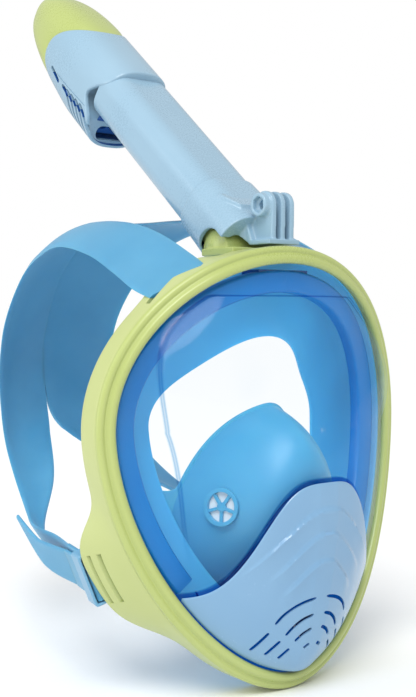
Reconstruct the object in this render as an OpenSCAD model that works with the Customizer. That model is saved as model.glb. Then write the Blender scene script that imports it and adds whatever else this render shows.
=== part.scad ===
// Full-face snorkel mask with a dry-top snorkel and a camera clevis.
// The face looks along -Y, +Z is up. The origin is the centre of the face opening.

/* [Face opening] */
// Half width of the lens rim
rim_half_w = 94; // [90:1:98]
// Height of the lens rim above the origin
rim_top = 85; // [82:1:88]
// Depth of the lens rim below the origin
rim_bottom = 129; // [126:1:132]
// How sharply the chin comes to a point, 2 being an ellipse
chin_power = 1.75; // [1.6:0.05:2]
// How far the middle of the rim stands in front of the origin
rim_front = 32; // [30:1:34]
// How far the sides of the rim are swept back from its middle
rim_sweep = 25; // [22:1:27]

/* [Frame] */
// Width of the bezel, seen from the front
bezel_w = 9.5; // [9:0.5:11]
// Depth of the frame's side wall
wall_depth = 17; // [15:1:19]
// Thickness of the frame's side wall
wall_t = 2.4; // [2:0.2:3]
// Extra depth of the strap lugs
lug_depth = 13; // [10:1:14]
// How far the strap lugs stand out at the sides
lug_flare = 12; // [8:1:14]

/* [Lens] */
// Wall thickness of the lens
lens_t = 2.2; // [2:0.2:3]
// How far the lens stands out in front of the origin
lens_front = 60; // [56:1:62]
// Gap behind the chin cover, where the drain valve opens
drain_gap = 5; // [5:0.5:6]

/* [Snorkel] */
// Angle of the tube above the horizontal
tube_angle = 39.84; // [36:0.5:42]
// Width of the tube across the mask
tube_w = 44; // [42:1:46]
// Height of the tube's section
tube_h = 32; // [30:1:34]
// Wall thickness of the tube
tube_t = 2; // [1.6:0.2:2.4]
// Length of the tube above the mask
tube_len = 126; // [124:1:130]
// Half width of the dry-top head
head_half_w = 24; // [23:0.5:26]

/* [Camera clevis] */
// Radius of the clevis bore
clevis_r = 2.5; // [2.4:0.05:2.7]
// Outer radius of a clevis ear
ear_r = 7.5; // [7:0.1:8]
// Thickness of a clevis ear
ear_t = 3; // [2.8:0.1:3.1]
// Distance from one ear to the next
ear_pitch = 6.2; // [6.1:0.1:6.4]

/* [Valves] */
// Outer radius of an inhale valve seat
seat_r = 9.8; // [9:0.1:11]

/* [Strap] */
// Thickness of the silicone strap
strap_t = 2.2; // [2:0.2:2.6]
// Height of the strap where it passes a lug
strap_end_h = 24; // [22:1:26]

/* [Hidden] */

$fn = 48;
green = "#ccd792";
green_pale = "#dbe3b4";
light_blue = "#aecfe2";
chin_blue = "#9cbfdc";
clear_blue = "#3f93cf";
silicone = "#5ba4cc";
strap_blue = "#4d94bf";
dark_blue = "#2c64a8";
valve_white = "#dbe9f2";

rim_steps = 60;
clearance = 0.4;
tube_foot = [0, 28.57, 119.81];
clevis_pos = [0, -18.8, 116.3];
nut_boss_x = -11.7;
nut_af = 8;
neck_axis = [6.7, 94];
neck_at = [5.8, -33.3];
neck_gap = 0.5;
neck_r = 10.5;
frame_back = rim_y(24) + wall_depth;
head_start = 110;
head_tip = 244;
head_body = 150;
drain_z = -99;
drain_r = 10;
valve_pos = [35, -18, -40.7];
valve_dir = [0.9, -0.42, 0.1];
cup_w = 46;
cup_z = -48;
cup_up = 58;
cup_down = 50;
cup_round = 1.2;
strip_pos = [-91, 11.5, -75];
strip_turn = 15;
strip_roll = 21;
strip_len = 40;
fold_at = 2.6;
seam = 0.8;
duct_half_w = 17;
duct_d = 14;

// ---- General shapes ----

function unit(v) = v / norm(v);
function mirror_x(p) = [-p[0], p[1], p[2]];
function smooth(u) = let (c = max(0, min(1, u))) c * c * (3 - 2 * c);

// Skin over a list of rings that all have the same number of points
module skin(rings, closed = false) {
    n = len(rings[0]);
    m = len(rings);
    walls = [for (i = [0 : m - (closed ? 1 : 2)], j = [0 : n - 1])
        let (a = i * n + j, b = i * n + (j + 1) % n, k = ((i + 1) % m) * n)
        each [[a, k + j, k + (j + 1) % n], [a, k + (j + 1) % n, b]]];
    caps = closed ? [] : [[for (j = [0 : n - 1]) j], [for (j = [n - 1 : -1 : 0]) (m - 1) * n + j]];
    polyhedron([for (r = rings) each r], concat(walls, caps), convexity = 10);
}

// Point at u along the segment i of a smooth curve through the points p
function curve_at(p, i, u) =
    let (n = len(p) - 1, a = p[max(0, i - 1)], b = p[i], c = p[min(n, i + 1)], d = p[min(n, i + 2)])
    b + 0.5 * u * (c - a + u * (2 * a - 5 * b + 4 * c - d + u * (3 * (b - c) + d - a)));
function smooth_curve(p, steps) =
    [for (i = [0 : len(p) - 2], s = [0 : steps - 1]) curve_at(p, i, s / steps), p[len(p) - 1]];

// Ribbon between two edge curves, crowned along its middle and thickened to its outer side
module ribbon(edge_a, edge_b, t, crown, steps = 3) {
    a = smooth_curve(edge_a, steps);
    b = smooth_curve(edge_b, steps);
    last = len(a) - 1;
    skin([for (i = [0 : last])
        let (along = a[min(i + 1, last)] + b[min(i + 1, last)] - a[max(i - 1, 0)] - b[max(i - 1, 0)],
            n = unit(cross(along, b[i] - a[i])), m = (a[i] + b[i]) / 2 + crown * sin(180 * i / last) * n)
        [a[i], m, b[i], b[i] + t * n, m + t * n, a[i] + t * n]]);
}

module rounded(w, h, r) {
    square([w - 2 * r, h], center = true);
    square([w, h - 2 * r], center = true);
    for (x = [-1, 1], y = [-1, 1]) translate([x * (w / 2 - r), y * (h / 2 - r)]) circle(r);
}

// Places children on the tube's axis: z runs up the tube, y towards its underside
module on_tube() {
    translate(tube_foot) rotate([tube_angle - 90, 0, 0]) children();
}

// Turns z to the direction d
module aim(d) {
    rotate([0, acos(d[2] / norm(d)), atan2(d[1], d[0])]) children();
}

// ---- The rim, as seen from the front: t is 0 at the top and 90 at +X ----

function rim_x(t) = rim_half_w * sign(sin(t)) * pow(abs(sin(t)), cos(t) >= 0 ? 1 : 2 / chin_power);
function rim_z(t) = cos(t) >= 0 ? rim_top * cos(t) : -rim_bottom * pow(-cos(t), 2 / chin_power);
function rim_y(x) = -rim_front + rim_sweep * pow(x / rim_half_w, 2);
function rim_normal(t) = let (h = 0.5, d = [rim_x(t + h) - rim_x(t - h), rim_z(t + h) - rim_z(t - h)])
    [-d[1], d[0]] / norm(d);
function rim_point(t, n, y) = let (m = rim_normal(t), x = rim_x(t))
    [x + n * m[0], rim_y(x) + y, rim_z(t) + n * m[1]];
function rim_half_width(z) = rim_half_w * pow(1 - pow(min(1, -z / rim_bottom), chin_power), 1 / chin_power);

// Ring along the rim whose section at t is profile(t), a list of [outwards, backwards]
module rim_ring(profile) {
    skin([for (i = [0 : rim_steps - 1]) let (t = 360 * i / rim_steps)
        [for (q = profile(t)) rim_point(t, q[0], q[1])]], closed = true);
}

// ---- Lens surface ----

function ridge_y(z) = let (low = (-26 - z) / (rim_bottom - 26), high = (z + 26) / 94)
    z > -26 ? -lens_front + 16 * pow(high, 1.6)
            : -lens_front + 27 * (1 - sqrt(max(0, 1 - pow(min(1, low), 1.7))));
function side_curve(z) = z > 0 ? 0.0044 + 0.0000018 * pow(z - 27, 2)
    : let (w = max(1, rim_half_width(z))) (rim_y(w) - ridge_y(z)) / (w * w);
function window_y(x, z) = ridge_y(z) + side_curve(z) * x * x;
// Where the flat window ends, as a fraction of the way out to the rim
function crease(t) = let (a = abs(t > 180 ? t - 360 : t), flat_top = 0.8 / max(0.5, cos(a)))
    a < 34 ? min(flat_top, 0.95) : a > 150 ? 0.95 : 0.95 - 0.175 * pow(sin(max(0, a - 50) * 1.8), 2);
function lens_y(t, r) =
    let (c = crease(t), x = rim_x(t), z = rim_z(t), k = (1 - r) / (1 - c))
    r <= c ? window_y(r * x, r * z) : k * window_y(c * x, c * z) + (1 - k) * rim_y(x);
// Upper edge of the chin cover
function chin_edge(x) = -83.5 + 57 * exp(-pow(abs(x) / 41, 3.5));
function chin_recess(x, z) = drain_gap * smooth((chin_edge(x) - 2 - z) / 6);
function lens_ring(r, back) = [for (i = [0 : rim_steps - 1])
    let (t = 360 * i / rim_steps, x = r * rim_x(t), z = r * rim_z(t))
    [x, lens_y(t, r) + back + chin_recess(x, z) * smooth((1 - r) / 0.08), z]];
function flange_ring(n, y) = [for (i = [0 : rim_steps - 1]) rim_point(360 * i / rim_steps, n, y)];

module lens_shell() {
    radii = [0.02, 0.22, 0.42, 0.56, 0.68, 0.775, 0.85, 0.93, 1];
    skin(concat([for (r = radii) lens_ring(r, 0.6)],
        [flange_ring(2.8, 0.6), flange_ring(2.8, 0.6 + lens_t)],
        [for (i = [len(radii) - 1 : -1 : 0]) lens_ring(radii[i] - (i == 8 ? 0.02 : 0), 0.6 + lens_t)]));
}

// ---- Mask body ----

function lug(z) = exp(-pow((z + 68) / 27, 4));
function upper_lug(z) = exp(-pow((z - 76) / 16, 4));

module rear_frame() {
    color(green_pale) difference() {
        rim_ring(function (t)
            let (z = rim_z(t), side = smooth((abs(rim_x(t)) - 30) / 12),
                s = lug(z) * side, u = upper_lug(z) * side,
                f = lug_flare * s + 3 * u, d = wall_depth + lug_depth * s, w = bezel_w - 0.2)
            [[2.8, 3.2], [w, 3.2], [w + 0.2 * f, 9], [w + f, d], [w + f - wall_t, d],
                [w + 0.2 * f - wall_t, 9], [w - wall_t, 5.6], [2.8, 5.6]]);
        for (s = [-1, 1]) scale([s, 1, 1]) {
            lug_slot(0, -2, 1.8);
            lug_slot(4, -7, 2.4);
            upper_slot();
        }
    }
}

// One of the two slots beside the lug's bar, w wide; it is a little taller than the strap
module lug_slot(x, y, w) {
    on_strip() translate([x, y, 0]) cube([14, w, strap_end_h + 4], center = true);
}

module upper_slot() {
    translate([-62, -10, 74]) rotate([0, -41, 0]) cube([34, 3.4, 14], center = true);
}

module bezel() {
    color(green) rim_ring(function (t)
        [[0.1, 0.4], [0.1, -1.4], [0.9, -2.6], [2.5, -3.1], [4.2, -2.6], [5.1, -1], [5.8, 0],
            [7.2, -0.5], [8.6, 0], [bezel_w, 1.4], [bezel_w, 3], [3, 3], [3, 0.4]]);
}

module lens() {
    color(clear_blue, 0.5) difference() {
        lens_shell();
        drain_place() cylinder(r = drain_r + 0.1, h = 30, center = true);
    }
}

// The drain valve sits in the chin of the lens, square to its surface
module drain_place() {
    translate([0, ridge_y(drain_z) + drain_gap + 0.6 + lens_t, drain_z]) aim([0, -1, -0.28]) children();
}

module skirt() {
    color(silicone, 0.9) rim_ring(function (t)
        let (upper = rim_z(t) > 0, side = pow(sin(t), 2), temple = upper ? pow(sin(2 * t), 2) : 0,
            lip = 36 + (1 - side) * (upper ? 2 : -11) + 5 * temple,
            back = wall_depth + 9 + 4 * side + 3 * temple)
        [[2.4, 6], [5.4, 6], [6, 12], [2, back - 3], [-6, back], [-lip * 0.6, back - 1], [-lip, back - 6],
            [-lip, back - 8], [-lip * 0.6, back - 3.6], [-6, back - 2.8], [-0.6, back - 5.5], [3, 12]]);
}

// Where the nose cup's rim stands at t, 0 being over the bridge of the nose
function cup_side(t) = sign(sin(t)) * pow(abs(sin(t)), cos(t) > 0 ? cup_round : 1);
function cup_rise(t) = cos(t) > 0 ? pow(cos(t), cup_round) : cos(t);
function cup_rim_y(t) = let (v = cup_rise(t)) v > 0 ? 12 - 17 * v - 10.7 * pow(v, 6) : 12 + 4 * v;
// Point at u from the crown 0 to the rim 1
function cup_point(t, u, grow) =
    let (x = u * (cup_w + grow) * cup_side(t), v = cup_rise(t),
        z = cup_z + u * v * (grow + (v > 0 ? cup_up : cup_down)),
        crown = -49 - grow + 10 * smooth((-25 - z) / 45))
    [x, crown + (cup_rim_y(t) - crown) * pow(u, v > 0 ? 3 + 2 * v * v : 3), z];
function cup_ring(u, grow) = [for (i = [0 : 35]) cup_point(10 * i, u, grow)];
function lip_point(t) = rim_point(t, -35 + 11 * (1 - pow(sin(t), 2)), wall_depth + 3 + 4 * pow(sin(t), 2));
// Edge of the web that joins the sides and foot of the cup to the skirt's lip
function web_ring(y) = [for (i = [0 : 35])
    let (t = 10 * i, low = smooth((0.35 - cos(t)) / 0.5), bead = cup_point(t, 1, 1.5))
    bead + low * (lip_point(180 + (t - 180) * 0.755) - bead) + [0, y, 0]];

module nose_cup() {
    radii = [0.03, 0.35, 0.6, 0.75, 0.86, 0.94, 1];
    color(silicone, 0.9) difference() {
        skin(concat([for (u = radii) cup_ring(u, 0)], [web_ring(0), web_ring(2)],
            [for (i = [6 : -1 : 0]) cup_ring(radii[i], -2)]));
        for (s = [-1, 1]) scale([s, 1, 1]) valve_place() cylinder(r = seat_r + 0.05, h = 24, center = true);
    }
}

module valve_place() {
    translate(valve_pos) aim(valve_dir) children();
}

// Spoked seat, with its rim on the front side of the cup
module valve_seat() {
    valve_place() {
        difference() {
            cylinder(r = seat_r, h = 2.6);
            translate([0, 0, -1]) cylinder(r = seat_r - 2, h = 5);
        }
        cylinder(r = 2.4, h = 2);
        for (i = [0 : 4]) rotate(72 * i) translate([1.8, -0.8, 0.2]) cube([seat_r - 3, 1.6, 1.6]);
    }
}

module valve_disc() {
    valve_place() translate([0, 0, -0.95]) cylinder(r = seat_r - 1.6, h = 0.9);
}

module inhale_seat_left() { color(valve_white) scale([-1, 1, 1]) valve_seat(); }
module inhale_seat_right() { color(valve_white) valve_seat(); }
module inhale_disc_left() { color(valve_white) scale([-1, 1, 1]) valve_disc(); }
module inhale_disc_right() { color(valve_white) valve_disc(); }

// Half-pipe that carries the breath from the nose cup up the side of the lens to the duct
module air_channel() {
    color(clear_blue, 0.7) skin([for (i = [0 : 22]) let (t = 16 + 5 * i)
        [for (q = [[-3, 5.2], [-4, 3.8], [-14, 3.8], [-15, 5.2], [-15, 11],
            [-13.6, 11], [-13.6, 5.4], [-4.4, 5.4], [-4.4, 11], [-3, 11]]) rim_point(t, q[0], q[1])]]);
}
module air_channel_right() { air_channel(); }
module air_channel_left() { scale([-1, 1, 1]) air_channel(); }

// Duct behind the top of the lens that joins both channels to the snorkel socket
module top_duct() {
    color(clear_blue, 0.7) translate([0, -26, 73]) difference() {
        translate([-duct_half_w, 0, 0]) cube([2 * duct_half_w, duct_d, 9]);
        translate([-duct_half_w + 1.6, 1.6, -1]) cube([2 * duct_half_w - 3.2, duct_d - 3.2, 8.4]);
    }
}

module chin_cover() {
    columns = 32;
    rows = 8;
    half_w = 64;
    front = -1;
    back = 0.2;
    function low_z(x) = -rim_bottom * pow(1 - pow(abs(x) / rim_half_w, chin_power), 1 / chin_power) + 1.2;
    function row_z(x, v) = low_z(x) + v / rows * (chin_edge(x) - low_z(x));
    function face_y(x, z) = window_y(x, z) + smooth((z + rim_bottom - 1) / 4) * 0.6 - 0.6;
    color(chin_blue) difference() {
        skin([for (i = [0 : columns]) let (x = half_w * (2 * i / columns - 1))
            concat([for (v = [0 : rows]) let (z = row_z(x, v)) [x, face_y(x, z) + front, z]],
                [for (v = [rows : -1 : 0]) let (z = row_z(x, v)) [x, face_y(x, z) + back, z]])]);
        for (s = [-1, 1], i = [0 : 3])
            translate([s * 10.5, ridge_y(-86 - 8.5 * i) + 1, -87 - 8.5 * i]) rotate([0, s * 22, 0])
                cube([12, 12, 1.8], center = true);
    }
}

module drain_seat() {
    color(valve_white) drain_place() {
        difference() {
            cylinder(r = drain_r, h = lens_t);
            translate([0, 0, -1]) cylinder(r = drain_r - 1.8, h = lens_t + 2);
        }
        cylinder(r = 2, h = lens_t - 0.2);
        for (i = [0 : 3]) rotate(90 * i) translate([1, -0.7, 0]) cube([drain_r - 2, 1.4, lens_t - 0.2]);
    }
}

module drain_disc() {
    color(dark_blue) drain_place() translate([0, 0, lens_t + 0.05]) cylinder(r = drain_r - 0.8, h = 0.8);
}

// ---- Snorkel socket ----

module neck_plug(w, h, low, high) {
    translate([0, 4.2, low]) linear_extrude(high - low) rounded(w, h, 7);
}

module snorkel_socket() {
    color(green) difference() {
        union() {
            on_tube() neck_plug(38, 18.4, -30, -9);
            translate([0, neck_axis[0], neck_axis[1]]) rotate([0, 90, 0])
                cylinder(r = neck_r, h = 40, center = true);
            for (s = [0, 180]) translate([0, neck_axis[0], neck_axis[1]]) rotate([0, 90, s])
                translate([0, 0, 20]) cylinder(r1 = neck_r, r2 = 3, h = 3);
            translate([-24, frame_back, 90.2]) cube([48, 27, 4]);
        }
        on_tube() neck_plug(32, 13.4, -36, 0);
        translate([-15, frame_back + 2, 80]) cube([30, 20, 12.5]);
    }
}

module socket_seal() {
    color(dark_blue) on_tube() difference() {
        neck_plug(41.4, 21.6, -17, -13);
        neck_plug(38.02, 18.42, -18, -12);
    }
}

// ---- Snorkel ----

module ears() {
    reach = clevis_pos[1];
    for (i = [-1 : 1]) translate([i * ear_pitch - ear_t / 2, 0, 0]) rotate([90, 0, 90])
        linear_extrude(ear_t) {
            translate([reach, clevis_pos[2]]) circle(ear_r);
            polygon([[reach - ear_r, clevis_pos[2]], [reach - 7, 97], [-9, 97], [-8, 110],
                [reach + ear_r, clevis_pos[2]]]);
        }
}

module collar() {
    color(light_blue) difference() {
        union() {
            on_tube() translate([0, 0, -38]) linear_extrude(39, scale = 0.935)
                rounded(tube_w + 5.6, tube_h + 6.4, 15);
            ears();
            intersection() {
                translate([-24, 0, 0]) rotate([90, 0, 90]) linear_extrude(48)
                    polygon([[-27, 95.5], [12, 95.5], [16, 106], [6, 124], [-6, 117.5], [-9, 108],
                        [-13, 98.1], [-27, 98.1]]);
                linear_extrude(140)
                    polygon([for (s = [-1, 1]) each [for (i = [0 : 3]) let (k = s > 0 ? i : 3 - i)
                        [s * [10.5, 11.5, 17, 22][k], [-27, -9, 2, 16][k]]]]);
            }
            translate([nut_boss_x, clevis_pos[1], clevis_pos[2]]) rotate([0, 90, 0])
                cylinder(r = 6.2, h = 5);
        }
        on_tube() neck_plug(42, 22.2, -60, -8);
        on_tube() translate([0, 0, -8.01]) linear_extrude(2.1) rounded(tube_w - 4, tube_h - 4, 11);
        on_tube() translate([0, 0, -6]) linear_extrude(20) rounded(tube_w + 0.04, tube_h + 0.04, 12.02);
        on_tube() translate([0, neck_at[0], neck_at[1]]) {
            rotate([0, 90, 0]) cylinder(r = neck_r + neck_gap, h = 60, center = true);
            translate([0, 0, -10]) cube([60, 2 * (neck_r + neck_gap), 20], center = true);
        }
        translate([-30, clevis_pos[1], clevis_pos[2]]) rotate([0, 90, 0]) cylinder(r = clevis_r, h = 60);
        translate([nut_boss_x - 0.1, clevis_pos[1], clevis_pos[2]]) rotate([0, 90, 0])
            cylinder(r = nut_af / sqrt(3), h = 3.2, $fn = 6);
    }
}

module tube() {
    web = 1.6;
    bay = (tube_w - 2 * tube_t - 2 * web) / 3;
    color(light_blue) on_tube() translate([0, 0, -6]) linear_extrude(tube_len) difference() {
        rounded(tube_w, tube_h, 12);
        for (x = [-1, 0, 1]) translate([x * (bay + web), 0])
            rounded(bay, tube_h - 2 * tube_t, x == 0 ? 2 : bay / 2 - 0.1);
    }
}

// Section of the head at the height a along the tube, shrunk by the wall thickness
function head_ring(a, wall) =
    let (s = max(0, a - head_body) / (head_tip - head_body), nose = sqrt(max(0.0004, 1 - pow(s, 3))),
        hump = (1 - 0.65 * pow(s, 1.2)) * sqrt(max(0.0004, 1 - pow(s, 8))), w = head_half_w * nose - wall)
    [for (i = [0 : 31]) let (q = 11.25 * i, side = sin(q) < 0 ? 28.5 * nose - wall : 28.5 * hump - wall)
        [max(0.3, w) * sign(cos(q)) * pow(abs(cos(q)), 0.74),
            8 + max(0.3, side) * sign(sin(q)) * pow(abs(sin(q)), 0.74), a]];

module head_shell() {
    difference() {
        skin([for (a = [head_start, 125, 140, 152, 164, 176, 188, 199, 209, 218, 227, 235, 241, head_tip])
            head_ring(a, 0)]);
        skin([for (a = [head_start - 1, 125, 140, 152, 164, 176, 188, 199, 209, 218, 227, 235])
            head_ring(a, 2.2)]);
    }
}

// Side outline of the housing: its open foot, then the parting line under the cap
module housing_outline(gap) {
    foot = [[-30, 111], [-12, 112], [-2, 122], [6, 128], [12, 124], [20, 118], [40, 115]];
    parting = [for (b = [40 : -5 : -30]) [b, 190 - 26 * pow((b - 10) / 29, 2) - gap]];
    polygon(concat(foot, parting));
}

// The cap runs down the middle of the underside as a spine between the louvres
module cap_spine(w, foot) {
    translate([-w / 2, 30, foot]) cube([w, 12, 50]);
}

module head_housing() {
    color(light_blue) on_tube() {
        difference() {
            intersection() {
                head_shell();
                translate([-40, 0, 0]) rotate([90, 0, 90]) linear_extrude(80) housing_outline(0);
            }
            for (s = [-1, 1], i = [0 : 5]) translate([s * 20, 26, 127 + 9.5 * i]) rotate([-22, 0, s * 20])
                cube([16, 15, 2.2], center = true);
            translate([0, 0, 100]) linear_extrude(21) rounded(tube_w + 0.04, tube_h + 0.04, 12.02);
            cap_spine(18, 138);
        }
        difference() {
            translate([0, -1, 112]) linear_extrude(2.2) rounded(44.4, 35, 12);
            translate([0, 0, 100]) linear_extrude(30) rounded(tube_w + 0.04, tube_h + 0.04, 12.02);
            translate([-30, 6, 100]) cube([60, 60, 30]);
        }
    }
}

module head_cap() {
    color(green) on_tube() {
        difference() {
            head_shell();
            translate([-40, 0, 0]) rotate([90, 0, 90]) linear_extrude(80) {
                housing_outline(-0.05);
                translate([-40, 90]) square([90, 40]);
            }
        }
        intersection() {
            head_shell();
            cap_spine(17.9, 138.05);
        }
    }
}

// The float's own axis leans from the tube towards the vertical
module on_float() {
    on_tube() translate([0, 23, 124]) rotate([15, 0, 0]) children();
}

module float_cage() {
    color(dark_blue) on_float() difference() {
        translate([0, 0, -3]) linear_extrude(34) rounded(28, 13, 3);
        translate([0, 0, -1.5]) linear_extrude(36) rounded(25, 10, 1.6);
        for (x = [-7.5, 0, 7.5]) translate([x, 0, -5]) cylinder(r = 3, h = 10);
    }
}

module float() {
    color(strap_blue) on_float() translate([0, 0, -1.45]) linear_extrude(17) rounded(24, 9, 3);
}

module float_pad() {
    color(dark_blue) on_float() translate([0, 0, 15.55]) linear_extrude(1.6) rounded(22, 7, 3);
}

// ---- Strap ----

// Point of the strap's straight end beside the left lug: l along it, h up it
function strip_at(l, h) = strip_pos + l * [sin(strip_turn), cos(strip_turn), 0]
    + h * [-sin(strip_roll) * cos(strip_turn), sin(strip_roll) * sin(strip_turn), cos(strip_roll)];

// Lower and upper edge of the left half, from the frame over the head to the lower lug
left_low_edge = [[-73, -8, 66], [-74, 6, 71], [-70, 29, 80], [-66, 60, 91], [-59, 102, 98], [-52, 137, 95],
    [-47, 170, 83], [-44, 198, 56], [-43, 208, 30], [-44, 206, 2], [-50, 187, -26], [-60, 150, -53],
    [-70, 118, -63], [-76, 80, -64], strip_at(strip_len, strap_end_h / 2)];
left_top_edge = [[-46, -22, 81], [-47, -10, 88], [-47, 19, 101], [-44, 52, 109], [-37, 88, 112],
    [-25, 128, 113],
    [seam, 170, 110], [seam, 204, 85], [seam, 226, 45], [seam, 226, 12], [-5, 211, -17], [-30, 163, -43],
    [-62, 118, -68], [-69, 80, -86], strip_at(strip_len, -strap_end_h / 2)];
// The right half sits a little higher above the ear
right_low_edge = [[73, -8, 66], [74, 6, 74], [71, 29, 87], [66, 60, 102], [57, 98, 112], [51, 135, 108],
    [47, 170, 90], [44, 198, 60], [43, 208, 30], [44, 206, 2], [50, 187, -26], [60, 150, -53],
    [70, 118, -63], [76, 80, -64], mirror_x(strip_at(strip_len, strap_end_h / 2))];
right_top_edge = [for (p = left_top_edge)
    [-p[0], p[1], p[2] + 4 * smooth((p[1] - 10) / 40) * smooth((p[2] - 60) / 40)]];

// Places children at the strap's straight end beside the left lug: y runs along it, x faces outwards
module on_strip() {
    translate(strip_pos) rotate([0, 0, -strip_turn]) rotate([0, -strip_roll, 0]) children();
}

module strip_end() {
    on_strip() translate([-strap_t, -1, -strap_end_h / 2]) cube([strap_t, strip_len + 2, strap_end_h]);
}

// The free end of the strap, folded back outside the straight end
module strip_tail() {
    out = strap_t + clearance;
    shift = -out * [cos(strip_turn), -sin(strip_turn), 0];
    on_strip() translate([-out - 2, fold_at, -strap_end_h / 2])
        cube([2, strip_len + 1 - fold_at, strap_end_h - 2]);
    on_strip() translate([-out - 2, fold_at, -strap_end_h / 2]) cube([out + 2, 3, strap_end_h - 2]);
    ribbon([strip_at(strip_len, strap_end_h / 2 - 2) + shift,
            [-84, 75, -67], [-82, 92, -66], [-80, 115, -57]],
        [strip_at(strip_len, -strap_end_h / 2) + shift,
            [-79.5, 78, -84], [-80, 93, -77], [-80, 116, -60]], 2, 0);
}

module head_strap() {
    color(strap_blue) {
        ribbon(left_top_edge, left_low_edge, strap_t, 3);
        ribbon(right_low_edge, right_top_edge, strap_t, 3);
        for (s = [-1, 1]) scale([-s, 1, 1]) {
            strip_end();
            strip_tail();
        }
    }
}

module strap_keeper() {
    on_strip() translate([-strap_t - clearance / 2, 9, 0]) rotate([90, 0, 0])
        linear_extrude(13, center = true) difference() {
            rounded(8.8, strap_end_h + 4.6, 1.6);
            square([5.8, strap_end_h + 1.6], center = true);
        }
}
module strap_keeper_left() { color(light_blue) strap_keeper(); }
module strap_keeper_right() { color(light_blue) scale([-1, 1, 1]) strap_keeper(); }

rear_frame();
bezel();
lens();
skirt();
nose_cup();
inhale_seat_left();
inhale_seat_right();
inhale_disc_left();
inhale_disc_right();
air_channel_left();
air_channel_right();
top_duct();
chin_cover();
drain_seat();
drain_disc();
snorkel_socket();
socket_seal();
head_strap();
strap_keeper_left();
strap_keeper_right();
collar();
tube();
head_housing();
head_cap();
float_cage();
float();
float_pad();
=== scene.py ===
"""The looks of a full-face snorkel mask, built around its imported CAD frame.

Lengths in the shape functions are millimetres, as in the CAD; mesh_object turns them into metres.
The face of the mask looks along -Y and +Z is up. Along the snorkel, alpha is the height up the tube
and beta the distance from the tube's axis towards its underside.
"""

import math

import bmesh
import bpy
import numpy as np
from mathutils import Matrix, Vector


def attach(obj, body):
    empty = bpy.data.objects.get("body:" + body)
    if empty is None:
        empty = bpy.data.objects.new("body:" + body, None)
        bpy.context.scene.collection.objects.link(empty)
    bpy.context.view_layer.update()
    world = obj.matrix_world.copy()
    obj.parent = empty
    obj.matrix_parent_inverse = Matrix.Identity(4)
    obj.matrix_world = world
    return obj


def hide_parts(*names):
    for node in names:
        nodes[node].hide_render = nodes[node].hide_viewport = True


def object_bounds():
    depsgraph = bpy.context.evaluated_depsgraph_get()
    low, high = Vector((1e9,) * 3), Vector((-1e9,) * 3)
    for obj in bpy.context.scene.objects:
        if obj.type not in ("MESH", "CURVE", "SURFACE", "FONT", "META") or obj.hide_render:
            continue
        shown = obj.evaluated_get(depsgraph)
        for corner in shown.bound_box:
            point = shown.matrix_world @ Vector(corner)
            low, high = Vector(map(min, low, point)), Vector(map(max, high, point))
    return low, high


MM = 0.001
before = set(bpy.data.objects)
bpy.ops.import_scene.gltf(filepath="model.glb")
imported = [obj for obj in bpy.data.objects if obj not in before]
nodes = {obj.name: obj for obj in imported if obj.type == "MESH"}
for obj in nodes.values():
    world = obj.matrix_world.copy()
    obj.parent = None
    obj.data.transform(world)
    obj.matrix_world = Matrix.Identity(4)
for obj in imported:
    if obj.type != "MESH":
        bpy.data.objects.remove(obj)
cad_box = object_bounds()

# Upper edge of the chin cover: a smooth hump on a level line
CHIN_LINE, CHIN_RISE, CHIN_HUMP_W, CHIN_HUMP_POWER = -83.5, 57.0, 41.0, 3.5


# ---- Small maths ----

CORNER_POINTS = 4


def smooth(u):
    """Smooth step from 0 to 1."""
    c = np.clip(u, 0, 1)
    return c * c * (3 - 2 * c)


def unit(v):
    return v / np.maximum(np.linalg.norm(v, axis=-1, keepdims=True), 1e-9)


def power(v, exponent):
    """Signed power, for superellipses."""
    return np.sign(v) * np.abs(v) ** exponent


def rounded_edge(distance, radius):
    """How far a face drops near its rounded edge, from 1 on the edge itself to 0 a radius away."""
    return 1 - np.sqrt(1 - (1 - np.clip(distance / radius, 0, 1)) ** 2)


def both_sides(paths, turn):
    """Paths of one side, and the same on the other, where the first number is counted from turn."""
    return paths + [[(turn - a, b) for a, b in path] for path in paths]


def curve(points, per_segment):
    """Catmull-Rom curve through the points, as the CAD's own strap edges."""
    p = np.asarray(points, float)
    last = len(p) - 1
    made = []
    for i in range(last):
        a, b, c, d = p[max(0, i - 1)], p[i], p[i + 1], p[min(last, i + 2)]
        for u in np.arange(per_segment) / per_segment:
            made.append(b + 0.5 * u * (c - a + u * (2 * a - 5 * b + 4 * c - d + u * (3 * (b - c) + d - a))))
    made.append(p[last])
    return np.array(made)


def soften(loop, radii):
    """Rounds the corners of closed section loops (..., K, 2 or 3), corner k to about radii[k]."""
    before, after = np.roll(loop, 1, axis=-2), np.roll(loop, -1, axis=-2)
    made = []
    for k, radius in enumerate(radii):
        corner = loop[..., k, :]
        if radius <= 0:
            made.append(corner)
            continue
        back, on = before[..., k, :] - corner, after[..., k, :] - corner
        reach = np.minimum(radius, 0.45 * np.minimum(
            np.linalg.norm(back, axis=-1), np.linalg.norm(on, axis=-1)))[..., None]
        start, end = corner + unit(back) * reach, corner + unit(on) * reach
        for u in np.linspace(0, 1, CORNER_POINTS):
            made.append((1 - u) ** 2 * start + 2 * u * (1 - u) * corner + u**2 * end)
    return np.stack(made, axis=-2)


# ---- Meshes ----


def grid_faces(rows, columns, wrap_rows):
    """Faces between the rows of a grid of points, each row being a closed ring."""
    faces = []
    for i in range(rows if wrap_rows else rows - 1):
        for j in range(columns):
            a, b = i * columns + j, i * columns + (j + 1) % columns
            up = ((i + 1) % rows) * columns
            faces.append((a, up + j, up + (j + 1) % columns, b))
    return faces


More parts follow.
